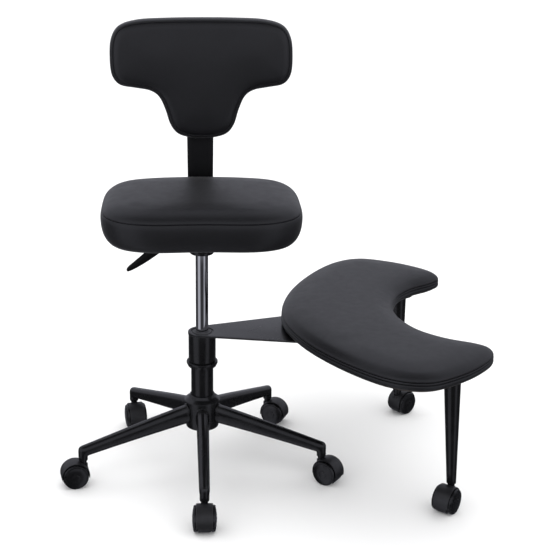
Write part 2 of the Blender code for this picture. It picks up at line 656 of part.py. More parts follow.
def backrest(carrier):
    place("back_bar", bar_mesh(), black_steel(), carrier)
    fixed = upright_frame(carrier, "upright")
    place("back_cover", cover_mesh(), black_plastic(), fixed)
    slide = upright_frame(carrier, "back_slide")
    place("back_bracket", bracket_mesh(), black_steel(), slide)
    board_back = -0.0160 - GAP
    board = slab(t_outline(0.010), 0, BOARD, "board")
    place("back_board", stand_up(board, board_back), plywood(), slide)
    pad = slab(t_outline(), 0, BACK_THICKNESS, "pad", round_edge=0.012)
    place("back_cushion", stand_up(pad, board_back - BOARD - GAP), leather(), slide)
    knob_axis = pivot("knob_axis", slide, (0, 0.0045, 0.2300), (-90, 0, 0))
    place("back_knob", knob_mesh(), black_plastic(), knob_axis)


# Chair ---------------------------------------------------------------------------------------
def build():
    for old in list(bpy.data.objects):
        bpy.data.objects.remove(old, do_unlink=True)
    root = pivot("column_axis", None, (COLUMN_X, COLUMN_Y, 0))
    caster_meshes = (stem_mesh(), hood_mesh(), wheel_mesh())
    star_base(root, caster_meshes)
    swivel = pivot("seat_swivel", root)
    lift = pivot("seat_lift", swivel)
    gas_column(root, swivel)
    valve = pivot("valve", lift)
    gas_piston(lift, valve)
    swing_arm(pivot("arm_swing", root, turn=(0, 0, ARM_YAW)), caster_meshes)
    lever = pivot("lever_pivot", lift, (LEVER_PIVOT_X, 0, LEVER_Z))
    seat(lift, lever)
    backrest(lift)


build()
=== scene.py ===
"""Looks of the kneeling massage chair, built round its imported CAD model.

Metres, +Z up, in the CAD's own frame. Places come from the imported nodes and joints; sizes
repeat the CAD's. Cushions, casters, legs, column, arm and covers are finer pieces that stand
for plain CAD nodes; the rest of the CAD stays and gets its finish here.
"""
import json
import math

import bmesh
import bpy
import numpy as np
from mathutils import Matrix, Vector, kdtree
from mathutils.geometry import delaunay_2d_cdt

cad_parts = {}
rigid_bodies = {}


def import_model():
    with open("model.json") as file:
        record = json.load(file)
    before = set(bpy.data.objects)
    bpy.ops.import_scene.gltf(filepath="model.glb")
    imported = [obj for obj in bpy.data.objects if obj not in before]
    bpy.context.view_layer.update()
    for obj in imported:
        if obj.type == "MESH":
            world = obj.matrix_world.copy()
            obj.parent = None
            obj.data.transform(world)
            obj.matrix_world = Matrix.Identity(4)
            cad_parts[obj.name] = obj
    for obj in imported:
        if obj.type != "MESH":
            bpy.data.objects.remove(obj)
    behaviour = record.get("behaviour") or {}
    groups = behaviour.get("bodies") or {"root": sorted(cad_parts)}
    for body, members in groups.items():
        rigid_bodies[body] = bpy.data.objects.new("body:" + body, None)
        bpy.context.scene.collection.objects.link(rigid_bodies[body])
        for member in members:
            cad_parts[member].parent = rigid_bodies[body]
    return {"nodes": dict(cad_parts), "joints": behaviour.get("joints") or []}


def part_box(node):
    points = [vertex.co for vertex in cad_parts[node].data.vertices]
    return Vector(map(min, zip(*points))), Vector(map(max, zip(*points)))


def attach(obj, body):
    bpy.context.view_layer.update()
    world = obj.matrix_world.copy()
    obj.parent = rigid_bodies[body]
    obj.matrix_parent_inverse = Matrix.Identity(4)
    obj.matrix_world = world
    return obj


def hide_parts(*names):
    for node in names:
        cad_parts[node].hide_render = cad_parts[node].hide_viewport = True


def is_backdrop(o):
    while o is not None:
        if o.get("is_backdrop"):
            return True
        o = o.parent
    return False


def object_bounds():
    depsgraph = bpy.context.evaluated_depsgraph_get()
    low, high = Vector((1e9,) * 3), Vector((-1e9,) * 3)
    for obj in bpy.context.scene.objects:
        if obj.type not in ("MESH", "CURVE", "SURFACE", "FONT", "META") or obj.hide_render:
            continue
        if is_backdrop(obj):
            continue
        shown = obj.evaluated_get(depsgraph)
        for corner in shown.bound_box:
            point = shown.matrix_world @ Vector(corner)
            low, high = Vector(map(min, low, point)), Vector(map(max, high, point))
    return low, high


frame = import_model()
cad_low, cad_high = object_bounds()

NODES = frame["nodes"]
JOINTS = {joint["name"]: joint for joint in frame["joints"]}
X, Y, Z = Vector((1, 0, 0)), Vector((0, 1, 0)), Vector((0, 0, 1))

low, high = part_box("column_tube")
middle = (low + high) / 2
COLUMN = Vector((middle.x, middle.y, 0))
scene = bpy.context.scene


def new_object(name, data):
    thing = bpy.data.objects.new(name, data)
    scene.collection.objects.link(thing)
    return thing


def evaluated(thing):
    """The mesh of an object with its modifiers applied."""
    graph = bpy.context.evaluated_depsgraph_get()
    return bpy.data.meshes.new_from_object(thing.evaluated_get(graph))


# Meshes --------------------------------------------------------------------------------------
def mesh_of(shape, name, sharp=35):
    bmesh.ops.remove_doubles(shape, verts=shape.verts, dist=1e-6)
    bmesh.ops.recalc_face_normals(shape, faces=shape.faces)
    mesh = bpy.data.meshes.new(name)
    shape.to_mesh(mesh)
    shape.free()
    mesh.shade_smooth()
    mesh.set_sharp_from_angle(angle=math.radians(sharp))
    return mesh


def rounded(corners, steps=4, closed=True):
    """Round each (x, y, radius) corner of a line with an arc; radius 0 keeps it sharp."""
    outline = []
    count = len(corners)
    for index, (x, y, radius) in enumerate(corners):
        here = Vector((x, y))
        end = not closed and index in (0, count - 1)
        if radius <= 0 or end:
            outline.append(here)
            continue
        back = (Vector(corners[index - 1][:2]) - here).normalized()
        ahead = (Vector(corners[(index + 1) % count][:2]) - here).normalized()
        half = back.angle(ahead) / 2
        centre = here + (back + ahead).normalized() * radius / math.sin(half)
        start = here + back * radius / math.tan(half) - centre
        swing = start.angle_signed(here + ahead * radius / math.tan(half) - centre)
        for step in range(steps + 1):
            spoke = start.copy()
            spoke.rotate(Matrix.Rotation(-swing * step / steps, 2))
            outline.append(centre + spoke)
    return outline


def lathe(profile, name, sides=64, steps=3, ring=False):
    """Turn (radius, height, rounding) corners round Z: a solid, or a ring when asked."""
    line = rounded(profile, steps, closed=ring)
    shape = bmesh.new()
    points = [shape.verts.new((p.x, 0, p.y)) for p in line]
    pairs = list(zip(points, points[1:])) + ([(points[-1], points[0])] if ring else [])
    edges = [shape.edges.new(pair) for pair in pairs]
    bmesh.ops.spin(shape, geom=points + edges, cent=(0, 0, 0), axis=(0, 0, 1),
                   angle=2 * math.pi, steps=sides, use_merge=True)
    return mesh_of(shape, name)


def loft(sections, name, caps=True, closed=False, sharp=35):
    """Join rings of points; closed joins the last ring to the first."""
    shape = bmesh.new()
    rings = [[shape.verts.new(point) for point in section] for section in sections]
    pairs = list(zip(rings, rings[1:])) + ([(rings[-1], rings[0])] if closed else [])
    count = len(rings[0])
    for lower, upper in pairs:
        for index in range(count):
            after = (index + 1) % count
            shape.faces.new((lower[index], lower[after], upper[after], upper[index]))
    if caps and not closed:
        shape.faces.new(rings[0])
        shape.faces.new(rings[-1])
    return mesh_of(shape, name, sharp)


def oval(centre, across, along, half_across, half_along, sides=32, squareness=1.0):
    """Points of an ellipse in the plane of two directions; below 1 it squares up."""
    points = []
    for index in range(sides):
        angle = 2 * math.pi * (index + 0.5) / sides
        u = math.copysign(abs(math.cos(angle)) ** squareness, math.cos(angle))
        v = math.copysign(abs(math.sin(angle)) ** squareness, math.sin(angle))
        points.append(centre + across * half_across * u + along * half_along * v)
    return points


RIPPLE_STEP = 1.9       # radians from one section of a weld bead to the next


def tube(path, radius, name, sides=10, closed=True, ripple=0.0):
    """A round cord along a path; a ripple of its thickness makes it a weld bead."""
    sections = []
    count = len(path)
    for index, here in enumerate(path):
        after = path[(index + 1) % count] if closed or index < count - 1 else here
        before = path[index - 1] if closed or index else here
        along = (after - before).normalized()
        side = along.cross(Z if abs(along.z) < 0.9 else X).normalized()
        size = radius * (1 + ripple * math.sin(index * RIPPLE_STEP))
        sections.append(oval(here, side, side.cross(along), size, size, sides))
    return loft(sections, name, closed=closed, sharp=60)


def spline(points, steps):
    """A closed Catmull-Rom curve through the points."""
    outline = []
    count = len(points)
    for index in range(count):
        p0, p1, p2, p3 = (Vector(points[(index + k - 1) % count]) for k in range(4))
        for step in range(steps):
            t = step / steps
            outline.append(0.5 * (2 * p1 + (p2 - p0) * t + (2 * p0 - 5 * p1 + 4 * p2 - p3) * t ** 2
                                  + (3 * p1 - p0 - 3 * p2 + p3) * t ** 3))
    return outline


def evenly(points, spacing):
    """The same closed line, counter-clockwise, with a point every spacing."""
    area = sum(a.x * b.y - b.x * a.y for a, b in zip(points, points[1:] + points[:1]))
    line = points if area > 0 else points[::-1]
    line = np.array([tuple(p) for p in line + line[:1]])
    walked = np.concatenate([[0], np.cumsum(np.linalg.norm(np.diff(line, axis=0), axis=1))])
    stops = np.linspace(0, walked[-1], max(12, round(walked[-1] / spacing)), endpoint=False)
    return [Vector((np.interp(s, walked, line[:, 0]), np.interp(s, walked, line[:, 1])))
            for s in stops]


def inset(outline, distance, stride=0.003):
    """Move a closed line inwards in short strides, easing its points apart in tight corners."""
    strides = max(1, math.ceil(abs(distance) / stride))
    line = outline
    for _ in range(strides):
        count = len(line)
        stepped = []
        for index, here in enumerate(line):
            tangent = (line[(index + 1) % count] - line[index - 1]).normalized()
            stepped.append(here + Vector((-tangent.y, tangent.x)) * (distance / strides))
        if strides > 2:
            stepped = [here.lerp((stepped[index - 1] + stepped[(index + 1) % count]) / 2, 0.3)
                       for index, here in enumerate(stepped)]
        line = stepped
    return line


def shell(outline, rows, name, sharp=35):
    """A closed body whose rings are the outline, inset and raised by each row."""
    sections = [[Vector((p.x, p.y, height)) for p in inset(outline, distance)]
                for distance, height in rows]
    return loft(sections, name, sharp=sharp)


def plate_rows(low, high, edge):
    """Rows of a flat plate with small round edges."""
    turns = [math.radians(angle) for angle in (0, 30, 60, 90)]
    lower = [(edge * (1 - math.sin(a)), low + edge * (1 - math.cos(a))) for a in turns]
    return lower + [(inward, low + high - height) for inward, height in reversed(lower)]


def joined(meshes, name):
    """Several meshes as one."""
    shape = bmesh.new()
    for mesh in meshes:
        shape.from_mesh(mesh)
    mesh = bpy.data.meshes.new(name)
    shape.to_mesh(mesh)
    shape.free()
    mesh.set_sharp_from_angle(angle=math.radians(35))
    return mesh


def moved(mesh, matrix):
    mesh.transform(matrix)
    return mesh


def at(*place):
    return Matrix.Translation(Vector(place))


def turn(degrees, axis="Z"):
    return Matrix.Rotation(math.radians(degrees), 4, axis)


def piece(name, mesh, look, body, stands_for=(), place=None):
    """Put a mesh in the scene, on its body and in its material slot."""
    thing = new_object(name, mesh)
    if not mesh.materials:
        mesh.materials.append(look)
    if place is not None:
        thing.matrix_world = place
    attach(thing, body)
    if stands_for:
        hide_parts(*stands_for)
    return thing


HERE = at(*COLUMN)      # most pieces are drawn about the column


# Materials -----------------------------------------------------------------------------------
class Nodes:
    """The node tree of a material or a world."""

    def __init__(self, owner):
        owner.use_nodes = True
        self.tree = owner.node_tree

    def add(self, kind, **settings):
        node = self.tree.nodes.new(kind)
        for key, value in settings.items():
            setattr(node, key, value)
        return node

    def put(self, value, socket):
        """Link an output to a socket, or set a plain number or colour on it."""
        if isinstance(value, bpy.types.NodeSocket):
            self.tree.links.new(value, socket)
        else:
            socket.default_value = (*value, 1.0) if isinstance(value, tuple) else value

    def blend(self, factor, first, second, how="MIX"):
        """A colour between two, by a factor; each may be an output."""
        node = self.add("ShaderNodeMix", data_type="RGBA", blend_type=how)
        self.put(factor, node.inputs["Factor"])
        self.put(first, node.inputs[6])
        self.put(second, node.inputs[7])
        return node.outputs[2]


class Look(Nodes):
    """A Principled material with the nodes that vary its colour, gloss and surface."""

    def __init__(self, name, roughness, metallic=0.0, specular=0.5):
        self.material = bpy.data.materials.new(name)
        super().__init__(self.material)
        self.shader = self.tree.nodes["Principled BSDF"]
        self.set("Roughness", roughness)
        self.set("Metallic", metallic)
        self.set("Specular IOR Level", specular)
        self.place = self.add("ShaderNodeTexCoord").outputs["Object"]

    def set(self, name, value):
        self.put(value, self.shader.inputs[name])

    def noise(self, scale, detail=2.0, stretch=None):
        place = self.place
        if stretch:
            mapping = self.add("ShaderNodeMapping")
            mapping.inputs["Scale"].default_value = stretch
            self.put(place, mapping.inputs["Vector"])
            place = mapping.outputs["Vector"]
        node = self.add("ShaderNodeTexNoise")
        node.inputs["Scale"].default_value = scale
        node.inputs["Detail"].default_value = detail
        self.put(place, node.inputs["Vector"])
        return node.outputs["Fac"]

    def mottle(self, scale, low=0, high=1, start=0.3):
        """Noise with its middle tones spread over a range."""
        return self.span(self.noise(scale, 3), low, high, start, 1 - start)

    def cells(self, scale, feature="DISTANCE_TO_EDGE"):
        """Voronoi cells, bent a little by noise so that they look like hide grain."""
        bend = self.add("ShaderNodeTexNoise")
        bend.inputs["Scale"].default_value = scale * 0.6
        self.put(self.place, bend.inputs["Vector"])
        mix = self.add("ShaderNodeVectorMath", operation="MULTIPLY_ADD")
        mix.inputs[1].default_value = (0.6 / scale,) * 3
        self.put(bend.outputs["Color"], mix.inputs[0])
        self.put(self.place, mix.inputs[2])
        node = self.add("ShaderNodeTexVoronoi", feature=feature)
        node.inputs["Scale"].default_value = scale
        self.put(mix.outputs["Vector"], node.inputs["Vector"])
        return node.outputs["Distance"]

    def span(self, value, low, high, from_low=0.0, from_high=1.0):
        node = self.add("ShaderNodeMapRange")
        for name, setting in (("From Min", from_low), ("From Max", from_high), ("To Min", low),
                              ("To Max", high), ("Value", value)):
            self.put(setting, node.inputs[name])
        return node.outputs["Result"]

    def colour(self, output):
        self.set("Base Color", output)

    def gloss(self, output):
        self.set("Roughness", output)

    def bump(self, layers):
        """Each layer is (height output, distance in metres, strength)."""
        normal = None
        for height, distance, strength in layers:
            node = self.add("ShaderNodeBump")
            node.inputs["Distance"].default_value = distance
            node.inputs["Strength"].default_value = strength
            self.put(height, node.inputs["Height"])
            if normal:
                self.put(normal, node.inputs["Normal"])
            normal = node.outputs["Normal"]
        self.set("Normal", normal)


def grey(level, blue=None):
    """A neutral colour, or one a little cooler."""
    return (level, level, level if blue is None else blue)


def leather_look():
    look = Look("leatherette", 0.44)
    grain = look.cells(620)
    pores = look.span(grain, 0, 1, 0.0, 0.16)
    tone = look.blend(look.mottle(9), grey(0.0064, 0.008), grey(0.0086, 0.0106))
    look.colour(look.blend(pores, grey(0.0042, 0.005), tone))
    look.gloss(look.mottle(60, 0.42, 0.47))
    look.bump([(look.noise(14, 2), 0.0009, 0.06), (pores, 0.00006, 0.5)])
    look.set("Sheen Weight", 0.06)
    look.set("Sheen Roughness", 0.4)
    return look.material


def cord_look():
    """The same hide, stretched smooth over a welt cord."""
    look = Look("welt", 0.36)
    look.colour(look.blend(look.noise(200), grey(0.0075, 0.0088), grey(0.0105, 0.012)))
    look.bump([(look.noise(900, 3), 0.00004, 0.4)])
    return look.material


def painted_look():
    look = Look("powder_coat", 0.25)
    tone = look.blend(look.mottle(30, start=0.35), grey(0.004, 0.0043), grey(0.006, 0.0064))
    outer_edge = look.add("ShaderNodeNewGeometry").outputs["Pointiness"]
    worn = look.span(outer_edge, 0, 1, 0.53, 0.6)
    look.colour(look.blend(worn, tone, grey(0.022, 0.023)))
    look.gloss(look.mottle(45, 0.2, 0.28))
    look.bump([(look.noise(1100, 2), 0.00004, 0.2), (look.noise(160, 2), 0.0001, 0.06)])
    return look.material


def plastic_look(name, low, high, roughness, texture, specular=0.5):
    """A moulded plastic between two tones, with a texture of its own depth."""
    look = Look(name, roughness, 0.0, specular)
    look.colour(look.blend(look.mottle(50, start=0.35), low, high))
    look.gloss(look.mottle(80, roughness - 0.04, roughness + 0.05))
    look.bump([(look.noise(1500, 2), 0.00005, texture)])
    return look.material


def chrome_look():
    look = Look("chrome_plate", 0.09, 1.0)
    look.colour(look.blend(look.noise(12, 3), grey(0.62), grey(0.7)))
    look.gloss(look.span(look.noise(240, 3, (1, 1, 0.02)), 0.04, 0.09, 0.3, 0.7))
    look.bump([(look.noise(900, 2, (1, 1, 0.03)), 0.00001, 0.15)])
    return look.material


def zinc_look():
    look = Look("zinc_steel", 0.32, 1.0)
    look.colour(look.blend(look.cells(90, "F1"), grey(0.3, 0.31), grey(0.46, 0.47)))
    look.gloss(look.mottle(300, 0.26, 0.4))
    look.bump([(look.noise(700, 2), 0.00003, 0.2)])
    return look.material


def plywood_look():
    """Dark stained plywood: veneer layers along Z and a long grain along X."""
    look = Look("stained_ply", 0.62)
    grain = look.noise(26, 5, (1, 9, 60))
    look.colour(look.blend(look.span(grain, 0, 1, 0.35, 0.65),
                           (0.02, 0.014, 0.01), (0.046, 0.033, 0.023)))
    look.bump([(grain, 0.0002, 0.3)])
    return look.material


def dust_cloth_look():
    """The spun black cloth under upholstery: a fine random web with weld dots."""
    look = Look("dust_cloth", 0.85, 0.0, 0.25)
    web = look.noise(1300, 4)
    dots = look.span(look.cells(420, "F1"), 1, 0, 0.1, 0.28)
    tone = look.blend(web, grey(0.006, 0.0065), grey(0.016, 0.017))
    look.colour(look.blend(dots, tone, grey(0.004, 0.0044)))
    look.bump([(web, 0.00012, 0.5), (dots, 0.00008, -0.4)])
    return look.material


LEATHER, WELT, PAINT = leather_look(), cord_look(), painted_look()
PLASTIC = plastic_look("moulded_plastic", grey(0.0045, 0.005), grey(0.0065, 0.007), 0.4, 0.35)
SHELL = plastic_look("moulded_shell", grey(0.011, 0.0125), grey(0.0145, 0.016), 0.42, 0.35)
# a matt plastic whose colour is also darkened as painted shade, for the post cover and the lever paddle
MATT_PAINTED_SHADE = plastic_look("matt_plastic_painted_shade", grey(0.0022, 0.0025), grey(0.0032, 0.0036), 0.45, 0.3, 0.22)
COVER = plastic_look("moulded_cover", grey(0.0055, 0.006), grey(0.008, 0.0086), 0.24, 0.1)
WHEEL = plastic_look("wheel_nylon", grey(0.0045, 0.005), grey(0.0065, 0.0072), 0.24, 0.08)
NYLON = plastic_look("bearing_nylon", grey(0.04, 0.044), grey(0.055, 0.06), 0.5, 0.2)
CHROME, ZINC, PLY, DUST = chrome_look(), zinc_look(), plywood_look(), dust_cloth_look()

# The CAD nodes that stay in sight keep their shape and get their finish.
for look, slot, names in (
        (PAINT, "frame", ("seat_housing", "back_bar", "back_bracket", "lift_lever")),
        (ZINC, "steel", ("valve_pin", "gas_rod", "thrust_bearing")),
        (NYLON, "nylon", ("column_bush", "sleeve_bush"))):
    for name in names:
        NODES[name].material_slots[0].material = look


# Cushions ------------------------------------------------------------------------------------
VOXEL, FRAMES = 0.0055, 20
PRESSURE, STIFFNESS, BENDING = 4.0, 20.0, 2.0
WEB = 0.008              # spacing of the points over a cushion's top and base
EASED, EASE_REACH, FACING = 90, 0.018, 6    # cloth points and distance that ease a move


def filled(ring, spacing):
    """Inner points of a flat ring on a grid, and triangles over ring and inner points."""
    edge = np.array([tuple(p) for p in ring])
    low, high = edge.min(0), edge.max(0)
    grid = np.stack(np.meshgrid(np.arange(low[0], high[0], spacing),
                                np.arange(low[1], high[1], spacing)), -1).reshape(-1, 2)
    after = np.roll(edge, -1, axis=0)
    crossed = (edge[:, 1] > grid[:, None, 1]) != (after[:, 1] > grid[:, None, 1])
    with np.errstate(divide="ignore", invalid="ignore"):
        cut = edge[:, 0] + (grid[:, None, 1] - edge[:, 1]) * (after - edge)[:, 0] / (after - edge)[:, 1]
    inside = (crossed & (grid[:, None, 0] < cut)).sum(1) % 2 == 1
    clear = np.linalg.norm(grid[:, None] - edge, axis=2).min(1) > 0.7 * spacing
    inner = grid[inside & clear]
    places = [Vector(p) for p in np.concatenate([edge, inner])]
    rim = [(i, (i + 1) % len(ring)) for i in range(len(ring))]
    _, _, faces, origin, _, _ = delaunay_2d_cdt(places, rim, [], 1, 1e-7)
    return inner, [[origin[corner][0] for corner in face] for face in faces]


def tree_of(points):
    tree = kdtree.KDTree(len(points))
    for index, point in enumerate(points):
        tree.insert(point, index)
    tree.balance()
    return tree


def each(mesh, what):
    """One vector for each of a mesh's vertices."""
    numbers = np.empty(len(mesh.vertices) * 3)
    mesh.vertices.foreach_get(what, numbers)
    return numbers.reshape(-1, 3)


class Cushion:
    """A closed sewn form: rings down its side, and a crowned web over its top and base."""

    def __init__(self, outline, rows, crown, reach):
        self.count = len(outline)
        self.rows = len(rows)
        self.points = [Vector((p.x, p.y, height)) for distance, height in rows
                       for p in inset(outline, distance)]
        self.faces = []
        for row in range(self.rows - 1):
            for i in range(self.count):
                j = (i + 1) % self.count
                low, high = row * self.count, (row + 1) * self.count
                self.faces.append([low + i, low + j, high + j, high + i])
        for row, rise in ((0, 0.0), (self.rows - 1, crown)):
            distance, height = rows[row]
            ring = inset(outline, distance)
            inner, faces = filled(ring, WEB)
            edge = np.array([tuple(p) for p in ring])
            start = len(self.points)
            for place in inner:
                far = np.linalg.norm(edge - place, axis=1).min()
                lift = rise * (1 - math.exp(-far / reach))
                self.points.append(Vector((place[0], place[1], height + lift)))
            base = row * self.count
            self.faces += [[base + k if k < self.count else start + k - self.count for k in face]
                           for face in faces]

    def ring(self, row):
        return self.points[row * self.count:(row + 1) * self.count]

    def mesh(self, name):
        shape = bmesh.new()
        corners = [shape.verts.new(point) for point in self.points]
        for face in self.faces:
            shape.faces.new([corners[k] for k in face])
        return mesh_of(shape, name, 180)

    def swell(self, seam, held_below, most):
        """Blow the form up as cloth, held at its seam and base, and take up the moves."""
        body = new_object("cloth", self.mesh("cloth"))
        remesh = body.modifiers.new("remesh", "REMESH")
        remesh.mode, remesh.voxel_size = "VOXEL", VOXEL
        body.data = evaluated(body)
        body.modifiers.clear()
        start, outward = each(body.data, "co"), each(body.data, "normal")
        line = tree_of(self.ring(seam))
        held = [index for index, place in enumerate(start)
                if place[2] < held_below or line.find(place)[2] < VOXEL]
        body.vertex_groups.new(name="held").add(held, 1.0, "REPLACE")
        cloth = body.modifiers.new("cloth", "CLOTH")
        settings = cloth.settings
        settings.use_pressure, settings.uniform_pressure_force = True, PRESSURE
        settings.vertex_group_mass = "held"
        settings.effector_weights.gravity = 0.0
        settings.tension_stiffness = settings.compression_stiffness = STIFFNESS
        settings.bending_stiffness = BENDING
        cloth.collision_settings.use_collision = False
        cloth.point_cache.frame_end = FRAMES
        for step in range(1, FRAMES + 1):
            scene.frame_set(step)
        rise = np.maximum(0, ((each(evaluated(body), "co") - start) * outward).sum(1))
        rise = most * np.tanh(rise / most)
        bpy.data.objects.remove(body, do_unlink=True)
        scene.frame_set(1)
        tree = tree_of(start)
        for index, point in enumerate(self.points):
            near = tree.find_n(point, EASED)
            which = [k for _, k, _ in near]
            weights = np.exp(-(np.array([far for _, _, far in near]) / EASE_REACH) ** 2)
            lift = (rise[which] * weights).sum() / weights.sum()
            way = outward[which[:FACING]].sum(0)
            self.points[index] = point + Vector(way / (np.linalg.norm(way) + 1e-9)) * lift


def softened(thing):
    step = thing.modifiers.new("softened", "SUBSURF")
    step.levels = step.render_levels = 1
    return thing


def mm(rows):
    return [tuple(value / 1000 for value in row) for row in rows]


def mirrored(half, x_sign, y_sign):
    """An even outline from half of its points, in mm, and their mirror images."""
    other = [(x_sign * x, y_sign * y) for x, y in reversed(half[1:-1])]
    return evenly(spline([Vector(p) for p in mm(half + other)], 8), 0.0055)


# seat cushion
SEAT_WIDTH, SEAT_DEPTH, SEAT_DIP, SEAT_BOW, SEAT_POWER = 0.433, 0.335, 0.008, 0.0055, 3.5
SEAT_HEEL = 0.0035      # how much higher its top is at the back
DIP_REACH = 0.62        # the share of its half width that the dip and the bow take up


def seat_outline():
    """A squared oval: its front edge curves in a little at the middle, its back bows out."""
    outline = []
    for x, y, _ in oval(Vector((0, 0, 0)), X, Y, 1, 1, 720, 2 / SEAT_POWER):
        wave = 0.5 + 0.5 * math.cos(math.pi * min(1, abs(x) / DIP_REACH))
        outline.append(Vector((x * SEAT_WIDTH / 2,
                               y * SEAT_DEPTH / 2 + wave * (SEAT_DIP if y < 0 else SEAT_BOW))))
    return evenly(outline, 0.005)


SEAT = seat_outline()
seat_low, seat_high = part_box("seat_cushion")
SEAT_THICK = seat_high.z - seat_low.z
seat_rows = mm([(31.6, 0), (31.6, -11.8), (30.2, -13), (27.2, -12.9), (23.5, -11.8), (17, -7.8),
                (11, -1.2), (6.6, 6.6), (3.7, 15.5), (2, 25)])
seat_rows = [(inward, height - SEAT_THICK) for inward, height in seat_rows]
seat_rows += mm([(1.3, -42), (1.2, -35.5), (1.6, -30.5), (2.4, -26.8), (3, -24.4), (3.4, -23.5),
                 (4.6, -23.2), (6.8, -22.7), (4.8, -22.2), (3.8, -21.8), (4.8, -19), (7, -15.4),
                 (10.5, -11.7), (16, -7.8), (23, -4.5), (31.5, -2), (41, -0.6)])
SEAT_SEAM = len(seat_rows) - 10
seat_pad = Cushion(SEAT, seat_rows, 0.0022, 0.06)
for point in seat_pad.points:
    over_seam = min(1, max(0, 1 - point.z / seat_rows[SEAT_SEAM][1]))
    point.z += SEAT_HEEL * over_seam * min(1, max(0, 0.5 + point.y / SEAT_DEPTH))
seat_pad.swell(SEAT_SEAM, 0.002 - SEAT_THICK, 0.0035)
seat = piece("seat_pad", seat_pad.mesh("seat_pad"), LEATHER, "seat", ["seat_cushion"],
             HERE @ at(0, 0, seat_high.z))
softened(seat)

# knee cushion
ARM_YAW = 3.0
ARM = HERE @ turn(ARM_YAW)
CRESCENT = mirrored([(180, 0), (204.5, 127), (262.5, 247), (343, 347), (425, 379.5), (512, 341),
                     (579, 279), (597, 235), (572, 204), (512, 166), (462, 102), (438, 0)], 1, -1)
KNEE_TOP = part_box("knee_cushion")[1].z
LIP = 9.4       # mm that a cover reaches in round the edge of its board
WELT_R, WELT_INSET = 0.0026, 0.0026
knee_rows = mm([(LIP, -30.2), (LIP, -34.6), (8, -36.8), (5, -37.5), (2.2, -36.7), (0.6, -34.3),
                (-0.2, -31.2), (-0.3, -28.4), (0.4, -26), (3.8, -25), (4.8, -22.2), (3.8, -19.4),
                (0.6, -18.4), (0.4, -16.2), (2, -13), (5.3, -9.5), (9.8, -6.3), (14.3, -3.9),
                (18.5, -2.3)])
KNEE_SEAM = 10
knee_pad = Cushion(CRESCENT, knee_rows, 0.0055, 0.021)
knee_pad.swell(KNEE_SEAM, -0.029, 0.0022)
knee = piece("knee_pad", knee_pad.mesh("knee_pad"), LEATHER, "swing_arm",
             ["knee_cushion"], ARM @ at(0, 0, KNEE_TOP))
softened(knee)
welt_path = [Vector((p.x, p.y, knee_rows[KNEE_SEAM][1])) for p in inset(CRESCENT, WELT_INSET)]
piece("knee_welt", tube(welt_path, WELT_R, "knee_welt"), WELT, "swing_arm",
      place=ARM @ at(0, 0, KNEE_TOP))

# back cushion: drawn flat, its height along Y and its depth, from the board to the front, up Z
BAR_BEHIND, BOARD_BACK, BOARD, GAP = 0.192, 0.0163, 0.012, 0.0003
ASIDE, ASKEW = 0.0056, 0.45     # metres and degrees that the pad hangs off the straight
slide = Vector(JOINTS["back_height"]["axis"])
BAR_LEAN = math.degrees(math.atan2(slide.y, slide.z))
UPRIGHT = HERE @ at(0, BAR_BEHIND, 0.6) @ turn(-BAR_LEAN, "X")
BACK_HANG = UPRIGHT @ at(ASIDE, -BOARD_BACK, 0) @ turn(90, "X") @ turn(ASKEW)
TEE = mirrored([(0, 396), (80, 395), (140, 391.5), (180, 379), (197.5, 352), (201.5, 313),
                (198, 273), (181, 251), (147, 244), (115, 238), (95, 224), (81.5, 195), (71, 162),
                (54, 141), (24, 132), (0, 131)], -1, 1)
back_rows = mm([(LIP, 0.1), (LIP, -4.5), (8, -6), (4.5, -6.6), (1.6, -5.8), (0.3, -3), (0, 1),
                (-0.2, 7), (-0.4, 14), (0, 21), (0.8, 27), (2.2, 31.6), (4, 34.6), (5.8, 36.4),
                (6.9, 37), (7.7, 36.6), (8.2, 34.6), (8.7, 36.7), (9.6, 38), (12.2, 39.8),
                (16.5, 41.6), (21, 42.8)])
BACK_SEAM = 16
back_pad = Cushion(TEE, back_rows, 0.0036, 0.045)
THIN_FROM, THIN_OVER, THINNED = 0.265, 0.134, 0.11     # the pad thins towards its stem's foot
for point in back_pad.points:
    fall = min(1, max(0, (THIN_FROM - point.y) / THIN_OVER))
    point.z *= 1 - THINNED * fall * fall
back_pad.swell(BACK_SEAM, 0.0015, 0.0022)
back = piece("back_pad", back_pad.mesh("back_pad"), LEATHER, "backrest",
             ["back_cushion"], BACK_HANG @ at(0, 0, BOARD + GAP))
softened(back)


# Boards --------------------------------------------------------------------------------------
CLOTH, CLOTH_GAP, CLOTH_IN = 0.0004, 0.00005, 0.003     # below its board, and in from the edge
STAPLE_IN, STAPLE_EVERY = 0.0075, 0.03


def staple_mesh():
    """A flat wire staple, lying along X, its back 0.6 mm proud."""
    path = mm([(-5, 0, -0.4), (-4.7, 0, 0.2), (4.7, 0, 0.2), (5, 0, -0.4)])
    return tube([Vector(p) for p in path], 0.0004, "staple", 6, closed=False)


def staples(outline, height):
    """Staples inside an outline, on the underside of a board."""
    line = evenly(inset(outline, STAPLE_IN), STAPLE_EVERY)
    made = []
    for index, here in enumerate(line):
        way = line[(index + 1) % len(line)] - line[index - 1]
        place = at(*here, height) @ turn(math.degrees(math.atan2(way.y, way.x)))
        made.append(moved(staple_mesh(), place @ turn(180, "X")))
    return joined(made, "staples")


def board(name, outline, low, high, body, node, place):
    """A plywood board, the black cloth tacked under it, and the staples."""
    piece(name, shell(outline, plate_rows(low, high, 0.0012), name), PLY, body,
          [node], place)
    cloth = plate_rows(low - CLOTH, low - CLOTH_GAP, 0.0001)
    piece(name + "_cloth", shell(inset(outline, CLOTH_IN), cloth, "cloth"), DUST, body,
          place=place)
    piece(node.replace("board", "staples"), staples(outline, low - CLOTH), ZINC, body,
          place=place)


